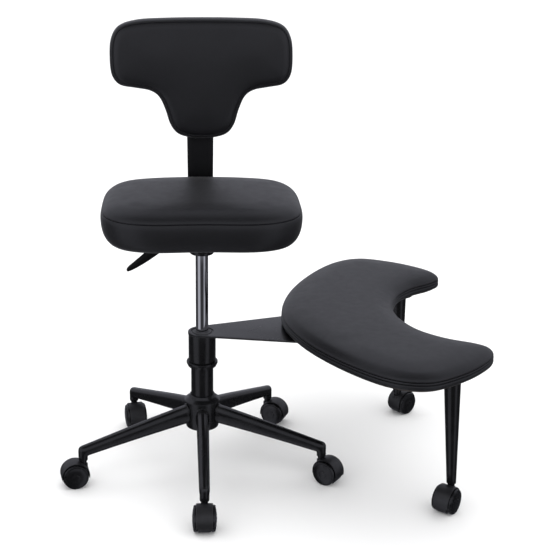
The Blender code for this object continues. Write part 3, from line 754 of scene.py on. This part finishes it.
SEAT_BOARD_IN, BOARD_IN = 0.032, 0.01       # from the cushion's outline in to the board's
low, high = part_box("seat_board")
board("seat_underboard", inset(SEAT, SEAT_BOARD_IN), low.z, high.z, "seat", "seat_board", HERE)
low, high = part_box("knee_board")
board("knee_underboard", inset(CRESCENT, BOARD_IN), low.z, high.z, "swing_arm", "knee_board", ARM)
board("back_shell", inset(TEE, BOARD_IN), 0, BOARD, "backrest", "back_board", BACK_HANG)


# Casters -------------------------------------------------------------------------------------
WHEEL_R, HOOD_R, TRAIL = 0.028, 0.0302, 0.019
HUB_HALF, RIM_HALF = 0.013, 0.022
HOOD_TAIL, HOOD_NOSE = 15, 13          # degrees that the hood reaches below the axle
DRUM_LOW = 0.006        # the drum between the wheels is cut off at this height
SOCKET_BOTTOM, SOCKET_R = 0.059, 0.0103
AXLE = at(TRAIL, 0, WHEEL_R) @ turn(-90, "X")   # lays a turned piece along the axle


def wheel_mesh():
    """A domed wheel with a pressed ring, a centre cap and a tread with eased edges."""
    inner = HUB_HALF + GAP
    profile = [(0, 0.0205, 0), (0.0032, 0.0205, 0), (0.0032, inner, 0.0003),
               (0.0262, inner, 0.0006), (WHEEL_R, inner + 0.0012, 0.0008),
               (WHEEL_R, RIM_HALF - 0.0016, 0.001)]
    face = mm([(26.8, 0.8, 0.8), (24.7, 1.2, 0.3), (24.4, 0.6, 0.1), (23.9, 0.6, 0.1),
               (23.6, 1.5, 0.3), (16.5, 2.8, 8), (9.4, 3.6, 0.4), (9.1, 3.2, 0.1),
               (8.6, 3.2, 0.1), (8.3, 3.7, 0.4), (0, 4, 0)])
    profile += [(radius, RIM_HALF + proud, edge) for radius, proud, edge in face]
    return moved(lathe(profile, "wheel", sides=72), AXLE)


def hood_mesh():
    """The drum between the wheels, and a roof over them with a rolled edge on each side."""
    shape = bmesh.new()
    shape.from_mesh(moved(lathe([(0, -HUB_HALF, 0), (HOOD_R - 0.0004, -HUB_HALF, 0.0008),
                                 (HOOD_R - 0.0004, HUB_HALF, 0.0008), (0, HUB_HALF, 0)],
                                "drum", sides=72), AXLE))
    whole = list(shape.verts) + list(shape.edges) + list(shape.faces)
    sliced = bmesh.ops.bisect_plane(shape, geom=whole, plane_co=(0, 0, DRUM_LOW),
                                    plane_no=(0, 0, -1), clear_outer=True)["geom_cut"]
    bmesh.ops.contextual_create(shape, geom=[e for e in sliced
                                             if isinstance(e, bmesh.types.BMEdge)])
    drum = mesh_of(shape, "drum")
    edge, under, outer = RIM_HALF - 0.0042, WHEEL_R + 0.0016, HOOD_R + 0.0012
    half = [(outer, 0), (outer, edge - 0.002), (outer - 0.0003, edge - 0.0007),
            (outer - 0.0008, edge), (under + 0.0004, edge), (under, edge - 0.0004),
            (under, edge - 0.001), (under, edge - 0.0018), (under, 0)]
    section = half + [(r, -y) for r, y in reversed(half[1:-1])]
    sections, turns = [], 64
    for step in range(turns + 1):
        along = step / turns
        angle = math.radians(-HOOD_TAIL + (180 + HOOD_TAIL + HOOD_NOSE) * along)
        ends = min(along, 1 - along) * turns / 6        # each end thins to a horn
        slim = 1 if ends > 1 else 0.25 + 0.75 * ends
        sections.append([Vector((TRAIL + r * math.cos(angle), y, WHEEL_R + r * math.sin(angle)))
                         for r, y in ((outer - (outer - r) * slim, y) for r, y in section)])
    roof = loft(sections, "roof", sharp=50)
    axle = moved(lathe([(0, -0.02, 0), (0.003, -0.02, 0.0003), (0.003, 0.02, 0.0003),
                        (0, 0.02, 0)], "axle", sides=24), AXLE)
    collar = lathe([(0.008, 0.044, 0), (0.0098, 0.044, 0), (0.0098, 0.0512, 0.0008),
                    (0.008, 0.0512, 0.0003)], "collar", sides=40, ring=True)
    return joined([drum, roof, axle, collar], "caster_hood")


def stem_mesh():
    """The neck between hood and socket, with its shoulder and groove, and the pin inside."""
    top = SOCKET_BOTTOM - GAP
    neck = mm([(0, 21.5, 0), (4, 21.5, 0), (4, 45, 0), (7.3, 45, 0.3), (7.3, 54.5, 0.2),
               (6.8, 54.9, 0.1), (6.8, 55.6, 0.1), (7.6, 56, 0.3)])
    pin = mm([(5.5, 83.8, 0.4), (0, 83.8, 0)])
    return lathe([*neck, (0.0076, top, 0.0004), (0.0055, top, 0), *pin], "caster_neck", sides=40)


wheel, hood, stem = wheel_mesh(), hood_mesh(), stem_mesh()
for label in ("1", "2", "3", "4", "5", "knee_front", "knee_rear"):
    swivel = JOINTS["caster_swivel_" + label]
    across = JOINTS["wheel_turn_" + label + "_a"]["axis"]
    foot = at(swivel["pos_m"][0], swivel["pos_m"][1], 0)
    yaw = math.degrees(math.atan2(-across[0], across[1]))
    piece("caster_neck_" + label, stem, PAINT, swivel["parent"],
          ["caster_stem_" + label], foot)
    piece("caster_cover_" + label, hood, SHELL, "hood_" + label,
          ["caster_hood_" + label], foot @ turn(yaw))
    for side, half_turn in (("a", 0), ("b", 180)):
        piece(f"caster_roller_{label}_{side}", wheel, WHEEL, f"wheel_{label}_{side}",
              [f"caster_wheel_{label}_{side}"],
              foot @ turn(yaw) @ at(TRAIL, 0, 0) @ turn(half_turn) @ at(-TRAIL, 0, 0))


# Star base -----------------------------------------------------------------------------------
STEM_CIRCLE, HUB_R, COLUMN_R, BORE_R = 0.2795, 0.0372, 0.025, 0.0058
LOW, HIGH = 0, 1        # the two ends of a node's box


def weld(path, radius):
    return tube(path, radius, "weld", 8, ripple=0.12)


def circle(radius, height, count=60):
    return [Vector((radius * math.cos(2 * math.pi * k / count),
                    radius * math.sin(2 * math.pi * k / count), height)) for k in range(count)]


def leg_mesh():
    """An oval tube that tapers outwards and turns down into its caster socket."""
    corner, foot_in = STEM_CIRCLE - SOCKET_R, STEM_CIRCLE + SOCKET_R
    guides = [  # upper or outer x, z; lower or inner x, z; half width; squareness
        (0.029, 0.1568, 0.029, 0.1123, 0.0142, 0.78),
        (0.07, 0.1472, 0.07, 0.1058, 0.0139, 0.78),
        (0.115, 0.1362, 0.115, 0.0984, 0.0134, 0.78),
        (0.16, 0.1245, 0.16, 0.0906, 0.0129, 0.78),
        (0.205, 0.1129, 0.205, 0.0824, 0.0123, 0.8),
        (0.245, 0.1026, 0.244, 0.0748, 0.0118, 0.84),
        (0.262, 0.0983, 0.26, 0.0716, 0.0116, 0.88),
        (0.274, 0.0953, corner - 0.004, 0.0706, 0.0115, 0.9),
        (0.281, 0.0936, corner - 0.0016, 0.07, 0.0115, 0.92),
        (0.285, 0.092, corner - 0.0004, 0.0692, 0.0113, 0.94),
        (0.2878, 0.0893, corner, 0.0684, 0.011, 0.96),
        (0.2893, 0.0855, corner, 0.0676, 0.0107, 0.98),
        (foot_in, 0.08, corner, 0.0664, SOCKET_R, 1.0),
        (foot_in, 0.07, corner, 0.065, SOCKET_R, 1.0),
        (foot_in, SOCKET_BOTTOM + 0.0022, corner, SOCKET_BOTTOM + 0.0022, SOCKET_R, 1.0),
        (foot_in - 0.0006, SOCKET_BOTTOM + 0.0008, corner + 0.0006, SOCKET_BOTTOM + 0.0008,
         SOCKET_R - 0.0006, 1.0),
        (foot_in - 0.0018, SOCKET_BOTTOM, corner + 0.0018, SOCKET_BOTTOM, SOCKET_R - 0.0018, 1.0),
        (STEM_CIRCLE + BORE_R, SOCKET_BOTTOM, STEM_CIRCLE - BORE_R, SOCKET_BOTTOM, BORE_R, 1.0),
        (STEM_CIRCLE + BORE_R, 0.064, STEM_CIRCLE - BORE_R, 0.064, BORE_R, 1.0)]
    sections = []
    for outer_x, outer_z, inner_x, inner_z, half, square in guides:
        outer, inner = Vector((outer_x, 0, outer_z)), Vector((inner_x, 0, inner_z))
        along = (outer - inner) / 2
        sections.append(oval((outer + inner) / 2, Y, along.normalized(), half, along.length, 36,
                             square))
    tube_mesh = loft(sections, "leg", sharp=40)
    bead = weld(oval(Vector((HUB_R + 0.0012, 0, 0.1335)), Y, Z, 0.0146, 0.0222, 48, 0.78), 0.0015)
    return joined([tube_mesh, bead], "star_leg")


leg = leg_mesh()
for number in range(1, 6):
    out = Vector(JOINTS[f"caster_swivel_{number}"]["pos_m"]) - COLUMN
    piece(f"star_leg_{number}", leg, PAINT, "base", [f"base_leg_{number}"],
          HERE @ turn(math.degrees(math.atan2(out.y, out.x))))


def ring_piece(name, node, look, body, slot, place, *profile):
    """A turned ring for a CAD node, by (radius, end of the node, height from it, rounding)."""
    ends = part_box(node)
    corners = [(radius, ends[end].z + height, edge) for radius, end, height, edge in profile]
    piece(name, lathe(corners, name, 80, ring=True), look, body, [node], place)


ring_piece("star_hub", "base_hub", PAINT, "base", "frame", HERE, (COLUMN_R + GAP, LOW, 0, 0.0006),
           (HUB_R, LOW, 0, 0.0018), (HUB_R, HIGH, 0, 0.0008), (COLUMN_R + GAP, HIGH, 0, 0.0006))
ring_piece("hub_cap", "hub_cover", COVER, "base", "plastic", HERE, (COLUMN_R + 0.0004, LOW, 0, 0),
           (0.0405, LOW, 0, 0.0003), (0.0405, LOW, 0.0028, 0.001), (0.0383, LOW, 0.005, 0.0016),
           (0.031, LOW, 0.0102, 0.01), (0.0276, HIGH, 0, 0.001),
           (COLUMN_R + 0.0004, HIGH, 0, 0.0006))


# Gas column ----------------------------------------------------------------------------------
ring_piece("column_sleeve", "column_tube", PAINT, "base", "frame", HERE, (0.0215, LOW, 0, 0),
           (COLUMN_R, LOW, 0, 0.001), (COLUMN_R, HIGH, 0, 0.0007), (0.0215, HIGH, 0, 0.0005))
ring_piece("arm_collar", "support_collar", PAINT, "base", "frame", HERE,
           (COLUMN_R + GAP, LOW, 0, 0.0004), (0.0318, LOW, 0, 0.0008),
           (0.0332, LOW, 0.004, 0.003), (0.035, LOW, 0.0072, 0.001),
           (0.035, HIGH, -0.0012, 0.0008), (0.034, HIGH, 0, 0.0005),
           (COLUMN_R + GAP, HIGH, 0, 0.0004))
ring_piece("gas_rod_chrome", "gas_cylinder", CHROME, "seat", "chrome", HERE, (0.011, LOW, 0, 0),
           (0.014, LOW, 0, 0.0006), (0.014, HIGH, 0, 0.001), (0.011, HIGH, 0, 0))


# Swing arm -----------------------------------------------------------------------------------
PLATE_END_R, PLATE_FLARE, PLATE_LENGTH = 0.0315, math.radians(14.1), 0.4
PLATE_TRIM = 0.004      # taken off each far corner of the plate
DISC_LOW, DISC_HIGH, DISC_R, SCREW_CIRCLE = 0.3235, 0.3303, 0.035, 0.0265   # a knee leg's top
LEAN_X, LEAN_Y, SHAFT_TOP = 0.0115, 0.008, 0.324


def plate_outline():
    """A round nose about the column, whose long edges open out under the pad."""
    nose = []
    for step in range(37):
        angle = math.pi / 2 + PLATE_FLARE + (math.pi - 2 * PLATE_FLARE) * step / 36
        nose.append(Vector((math.cos(angle), math.sin(angle))) * PLATE_END_R)
    half = PLATE_END_R / math.cos(PLATE_FLARE) + PLATE_LENGTH * math.tan(PLATE_FLARE) - PLATE_TRIM
    return nose + [Vector((PLATE_LENGTH, -half)), Vector((PLATE_LENGTH, half))]


def cut(mesh, tool, name):
    """A mesh with another taken out of it."""
    body, helper = new_object(name, mesh), new_object(name + "_tool", tool)
    step = body.modifiers.new("cut", "BOOLEAN")
    step.object, step.operation = helper, "DIFFERENCE"
    result = evaluated(body)
    for item in (body, helper):
        bpy.data.objects.remove(item, do_unlink=True)
    result.set_sharp_from_angle(angle=math.radians(30))
    return result


def oblong(long, wide):
    return [Vector(p) for p in ((-long, -wide), (long, -wide), (long, wide), (-long, wide))]


def screw_mesh():
    """A pan head with a cross recess, its face down and its seat at zero."""
    head = lathe([(0, 0, 0), (0.0042, 0, 0), (0.0042, -0.0012, 0.0008), (0, -0.0028, 0)],
                 "head", sides=28)
    for long, wide in ((0.0022, 0.0004), (0.0004, 0.0022)):
        head = cut(head, shell(oblong(long, wide), [(0, -0.004), (0, -0.0017)], "blade"), "head")
    return head


SCREW = screw_mesh()


def screws(places):
    """Screw heads at (x, y, height), face down."""
    return joined([moved(SCREW.copy(), at(*place) @ turn(37 * index))
                   for index, place in enumerate(places)], "screws")


low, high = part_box("swing_plate")
plate = shell(plate_outline(), plate_rows(low.z, high.z, 0.0007), "arm_plate", sharp=30)
hole = lathe([(0, low.z - 0.01, 0), (COLUMN_R + 0.0004, low.z - 0.01, 0),
              (COLUMN_R + 0.0004, high.z + 0.01, 0), (0, high.z + 0.01, 0)], "hole", 80)
piece("arm_plate", cut(plate, hole, "arm_plate"), PAINT, "swing_arm", ["swing_plate"], ARM)
arm_screws = [(x, y, low.z) for x, half in ((0.235, 0.06), (0.37, 0.095)) for y in (half, -half)]
piece("arm_screws", screws(arm_screws), ZINC, "swing_arm", place=ARM)
ring_piece("arm_sleeve", "swing_sleeve", PAINT, "swing_arm", "frame", ARM,
           (0.028, LOW, 0, 0.0004), (0.0305, LOW, 0, 0.0008), (0.0305, HIGH, 0, 0.0003),
           (0.028, HIGH, 0, 0.0003))
sleeve_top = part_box("swing_sleeve")[1].z
piece("arm_weld", weld(circle(0.0306, sleeve_top - 0.0008, 90), 0.0011), PAINT, "swing_arm",
      place=ARM)


def knee_leg(label, side):
    """A tapering leg with a round plate on top, its weld and its screws."""
    foot = ARM.inverted() @ Vector(JOINTS["caster_swivel_knee_" + label]["pos_m"])
    foot.z = SOCKET_BOTTOM
    top = Vector((foot.x - LEAN_X, foot.y - side * LEAN_Y, SHAFT_TOP))
    sections = []
    for height, radius in mm([(5, 6), (0, 6), (0, 8.6), (0.8, 9.8), (2.2, 10.4), (70, 12.6),
                              (140, 14.9), (210, 17.2), (260, 18.8), (265, 19)]):
        along = height / (top.z - foot.z)
        sections.append(oval(foot.lerp(top, along), X, Y, radius, radius, 44))
    shaft = loft(sections, "shaft", sharp=40)
    centre = at(top.x, top.y, 0)
    disc = moved(lathe([(0, DISC_LOW, 0), (DISC_R, DISC_LOW, 0.001), (DISC_R, DISC_HIGH, 0.001),
                        (0, DISC_HIGH, 0)], "disc", 72), centre)
    bead = moved(weld(circle(0.0196, 0.323, 60), 0.0014), centre)
    heads = [(top.x + SCREW_CIRCLE * math.cos(a), top.y + SCREW_CIRCLE * math.sin(a), DISC_LOW)
             for a in (math.pi / 4 + math.pi / 2 * k for k in range(4))]
    return joined([shaft, disc, bead], "knee_strut"), screws(heads)


for label, side in (("front", -1), ("rear", 1)):
    strut, heads = knee_leg(label, side)
    piece("knee_strut_" + label, strut, PAINT, "swing_arm", ["knee_leg_" + label], ARM)
    piece("knee_screws_" + label, heads, ZINC, "swing_arm", place=ARM)


# Seat mechanism and backrest fittings --------------------------------------------------------
low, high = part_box("seat_housing")
FLANGE = 0.003          # thickness of the housing's top plate
seat_screws = [(x, y, high.z - FLANGE) for y in (-0.066, 0.062) for x in (-0.078, 0.078)]
piece("seat_screws", screws(seat_screws), ZINC, "seat", place=HERE)
piece("seat_boss", lathe([(0.015, low.z, 0.0004), (0.0262, low.z, 0.003),
                          (0.0275, low.z + 0.014, 0.001), (0.015, low.z + 0.014, 0)],
                         "seat_boss", 64, ring=True), PAINT, "seat", place=HERE)

SLOPE = math.radians(34)
down = Vector((-math.cos(SLOPE), 0, -math.sin(SLOPE)))
over = Vector((math.sin(SLOPE), 0, -math.cos(SLOPE)))
paddle_start = Vector((-0.0727, 0, 0.5395))
stations = mm([(0, 4.4, 5.4, 0), (1.2, 5, 6.2, 0), (10, 6.2, 9.9, 0), (24, 6.5, 10.5, 0),
               (40, 6.6, 10.6, 0.4), (56, 6.5, 10.1, 1.4), (72, 6.2, 9, 2.4), (90, 5.6, 7.4, 3),
               (102, 5.1, 6, 3), (108, 4.6, 4.6, 3.2), (111.2, 3.4, 3, 3.6), (112.4, 1.2, 1, 4)])
paddle = loft([oval(paddle_start + down * along + over * drop, Y, over, wide, tall, 36, 0.85)
               for along, wide, tall, drop in stations], "paddle", sharp=60)
# the paddle's darker colour is partly painted shade; its matt finish is real
piece("lift_paddle", paddle, MATT_PAINTED_SHADE, "lever", ["lever_paddle"], HERE)


def shroud_mesh():
    """The moulded cover over the upright: an open box section with rolled ends."""
    sections = []
    for height, width, deep in mm([(-20, 27, 11.6), (-19.2, 28.1, 12.6), (-18, 28.5, 13),
                                   (60, 29.3, 13), (138, 30, 13), (139.2, 29.7, 12.7),
                                   (140, 28.8, 11.8), (140, 26.2, 9.2), (139.2, 25.8, 8.8),
                                   (-19.2, 24.4, 8.8), (-20, 24.8, 9.2)]):
        sections.append(oval(Vector((0, 0, height)), X, Y, width, deep, 64, 0.42))
    return loft(sections, "post_shroud", closed=True, sharp=40)


# the cover's darker colour is painted shade for the shade between seat and backrest; its matt finish is
# real
piece("post_shroud", shroud_mesh(), MATT_PAINTED_SHADE, "seat", ["back_cover"], UPRIGHT)


def knob_mesh():
    """A six-lobed hand knob with a sunk cap, on its clamp bolt, turned round Z."""
    outline = []
    for index in range(144):
        angle = 2 * math.pi * index / 144
        outline.append(Vector((math.cos(angle), math.sin(angle)))
                       * (0.02 + 0.0016 * math.cos(6 * angle)))
    rows = mm([(9, 11.5), (3, 11.5), (1.2, 12.2), (0, 14), (0, 26.2), (0.8, 28.4), (2.6, 29.6),
               (6, 30), (9, 29.9), (9.6, 29.2), (11, 29.2), (11.6, 29.7)])
    bolt = lathe([(0, -0.0002, 0), (0.0039, -0.0002, 0.0003), (0.0039, 0.013, 0), (0, 0.013, 0)],
                 "bolt", 28)
    return joined([shell(outline, rows, "head", 40), bolt], "clamp_knob")


knob_axis = UPRIGHT @ at(0, 0.0045, 0.23) @ turn(-90, "X")
piece("clamp_knob", knob_mesh(), PLASTIC, "knob", ["back_knob"], knob_axis)


# Room, light and camera ----------------------------------------------------------------------
floor = new_object("floor", shell(oblong(30, 30), [(0, -0.1), (0, 0)], "floor"))
paper = Look("pale_floor", 0.9, 0.0, 0.0)
paper.colour(paper.blend(paper.noise(1.2), (0.9, 0.9, 0.9), (0.92, 0.92, 0.92)))
floor.data.materials.append(paper.material)
floor.visible_glossy = False   # gloss sees the dim room below the horizon, not the lit floor
floor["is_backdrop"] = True


BACKDROP, STRIPS, BAND, ROOM = 1.0, 0.47, 0.58, 0.05    # light levels that gloss sees
DOME, PAPER = 1.4, 0.98        # the plain levels that light the chair and that the camera sees


class Studio(Nodes):
    """A dim room with a lit backdrop behind the chair and soft light in front of it."""

    def ramp(self, output, *stops):
        node = self.add("ShaderNodeValToRGB")
        colours = node.color_ramp
        colours.interpolation = "EASE"
        while len(colours.elements) < len(stops):
            colours.elements.new(0.5)
        for element, (place, level) in zip(colours.elements, stops):
            element.position = place
            element.color = (level, level, level, 1)
        self.put(output, node.inputs["Fac"])
        return node.outputs["Color"]

    def maths(self, operation, *values):
        node = self.add("ShaderNodeMath", operation=operation)
        for value, socket in zip(values, node.inputs):
            self.put(value, socket)
        return node.outputs[0]

    def times(self, first, second, level):
        return self.maths("MULTIPLY", self.maths("MULTIPLY", first, second), level)

    def paint(self):
        axes = self.add("ShaderNodeSeparateXYZ")
        self.put(self.add("ShaderNodeTexCoord").outputs["Generated"], axes.inputs[0])
        x, y, z = axes.outputs
        height = self.maths("MULTIPLY_ADD", z, 0.5, 0.5)
        behind = self.maths("MULTIPLY_ADD", y, 0.5, 0.5)
        heading = self.maths("ARCTAN2", x, self.maths("MULTIPLY", y, -1.0))
        turned = self.maths("MULTIPLY_ADD", heading, 0.5 / math.pi, 0.5)
        backdrop = self.ramp(height, (0.47, 0), (0.53, 0.24), (0.57, 0.24), (0.61, 0.13),
                             (0.65, 0.26), (0.7, 0.4), (0.76, 0.2), (0.85, 0.42),
                             (0.925, 0.85), (0.97, 0.15))
        strips = self.ramp(turned, (0, 0.4), (0.07, 0.4), (0.12, 0), (0.27, 0), (0.3, 1),
                           (0.4, 1), (0.43, 0), (0.57, 0), (0.6, 0.9), (0.65, 0.9),
                           (0.68, 0), (0.88, 0), (0.93, 0.3), (1, 0.3))
        low_only = self.ramp(height, (0, 1), (0.52, 1), (0.64, 0))
        band = self.ramp(height, (0.42, 0), (0.47, 0.3), (0.51, 0.75), (0.56, 1), (0.66, 0.92),
                         (0.74, 0.9), (0.86, 0.9), (0.93, 0))
        in_front = self.ramp(behind, (0.3, 1), (0.5, 0.75), (0.7, 0.4), (1, 0.36))
        light = self.times(backdrop, self.ramp(behind, (0.42, 0), (0.7, 1)), BACKDROP)
        light = self.maths("ADD", light, self.times(strips, low_only, STRIPS))
        light = self.maths("ADD", light, self.times(band, in_front, BAND))
        light = self.blend(1.0, self.maths("ADD", light, ROOM), (0.96, 0.975, 1.11), "MULTIPLY")
        rays = self.add("ShaderNodeLightPath")
        light = self.blend(rays.outputs["Is Diffuse Ray"], light, (DOME, DOME, DOME))
        light = self.blend(rays.outputs["Is Camera Ray"], light, (PAPER, PAPER, PAPER))
        self.put(light, self.tree.nodes["Background"].inputs["Color"])


scene.world = bpy.data.worlds.new("studio")
Studio(scene.world).paint()


# one large soft lamp overhead, aimed at the chair's middle
data = bpy.data.lights.new("overhead", "AREA")
data.shape, data.size, data.size_y, data.energy = "RECTANGLE", 2.6, 2.0, 12
lamp = new_object("overhead", data)
centre = (cad_low + cad_high) / 2
above = Vector((0, 0.3, 2.2))
lamp.matrix_world = at(*(centre + above)) @ above.to_track_quat("Z", "Y").to_matrix().to_4x4()
lamp.visible_glossy = False

AZIMUTH, ELEVATION, ROLL = math.radians(-4.35), math.radians(19.125), math.radians(0.979)
DISTANCE, LENS, SENSOR = 2.7785, 82.6334, 36.0      # metres, millimetres, millimetres
AIM_ASIDE, AIM_HEIGHT = 0.1617, 0.464


# the camera: in front, a little to the left and above, its middle beside the column
backward = Vector((math.sin(AZIMUTH) * math.cos(ELEVATION),
                   -math.cos(AZIMUTH) * math.cos(ELEVATION), math.sin(ELEVATION)))
right = Vector((math.cos(AZIMUTH), math.sin(AZIMUTH), 0))
up = backward.cross(right)
data = bpy.data.cameras.new("camera")
data.sensor_width, data.lens = SENSOR, LENS
camera = new_object("camera", data)
place = Matrix((right * math.cos(ROLL) + up * math.sin(ROLL),
                up * math.cos(ROLL) - right * math.sin(ROLL), backward)).transposed().to_4x4()
place.translation = COLUMN + right * AIM_ASIDE + Z * AIM_HEIGHT + backward * DISTANCE
camera.matrix_world = place
bpy.context.scene.camera = camera
scene.view_settings.view_transform = "Standard"

low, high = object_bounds()
